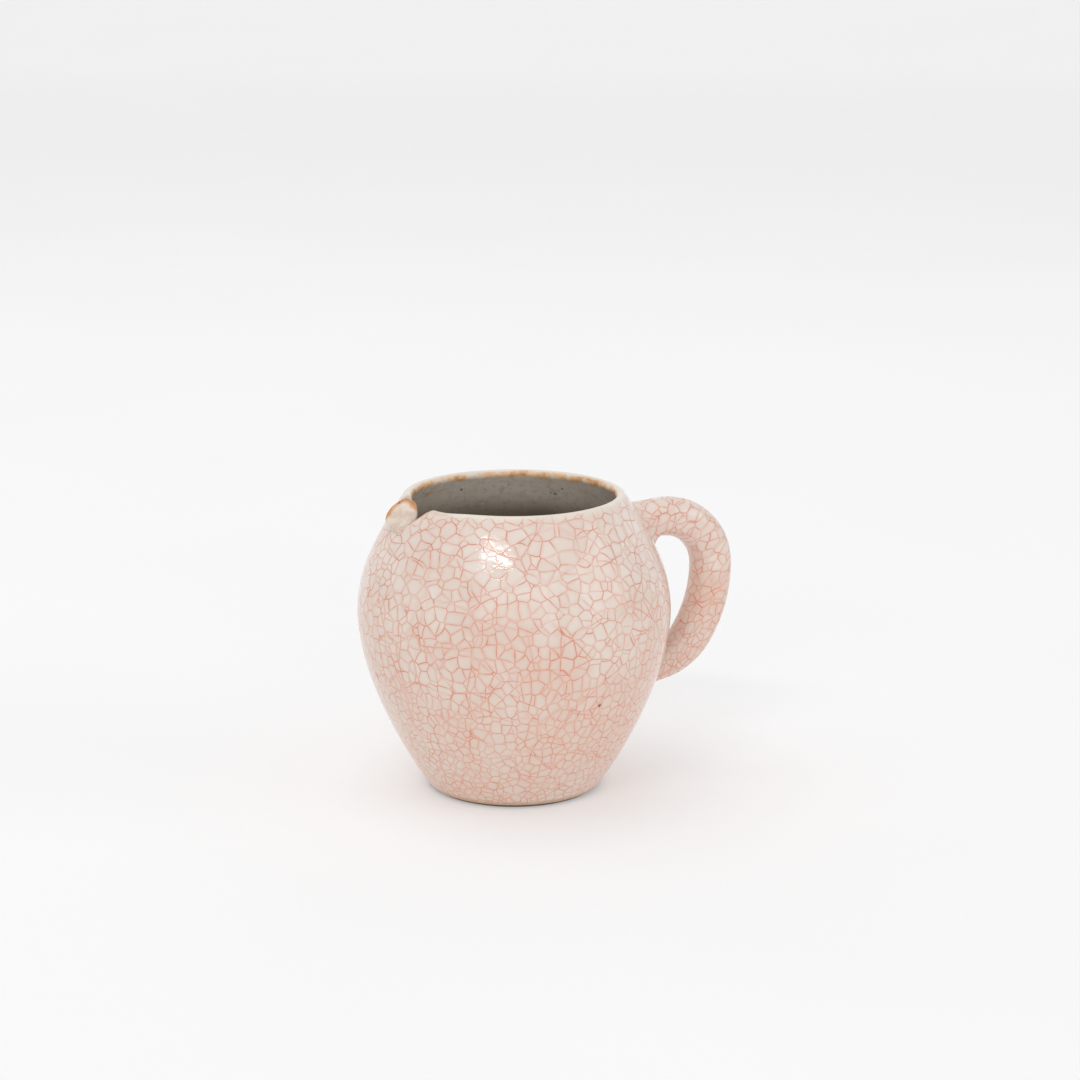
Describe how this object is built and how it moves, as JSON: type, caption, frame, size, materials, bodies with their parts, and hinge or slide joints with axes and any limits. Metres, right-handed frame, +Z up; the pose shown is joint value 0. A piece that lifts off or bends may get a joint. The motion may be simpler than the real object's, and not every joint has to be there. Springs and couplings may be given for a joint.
{
  "type": "cream jug",
  "caption": "Small round-bellied ceramic cream jug with a looped handle and a small turned-over pouring lip, in pink crackle glaze with a bare foot.",
  "frame": {"origin": "centre of the foot ring on the resting plane, on the axis of the turned body", "axes": "+Z up along the body's axis, +X towards the handle, -X towards the pouring lip, +Y the jug's side, so the handle's loop lies in the XZ plane"},
  "size_m": [0.1119, 0.0884, 0.085],
  "materials": {
    "clay": "unglazed, fired",
    "bare_foot": "unglazed, toasted brown",
    "crackle_glaze": "gloss, pink-stained crackle",
    "liner_glaze": "gloss, grey-white with iron specks",
    "lip_glaze": "gloss, cream, iron-brown on the edges"
  },
  "bodies": {
    "root": {"clay_body": "clay", "foot_ring": "bare_foot", "outer_glaze": "crackle_glaze", "inner_glaze": "liner_glaze", "handle": "clay", "handle_glaze": "crackle_glaze", "upper_handle_joint": "crackle_glaze", "lower_handle_joint": "crackle_glaze", "pouring_lip": "lip_glaze"}
  },
  "joints": []
}
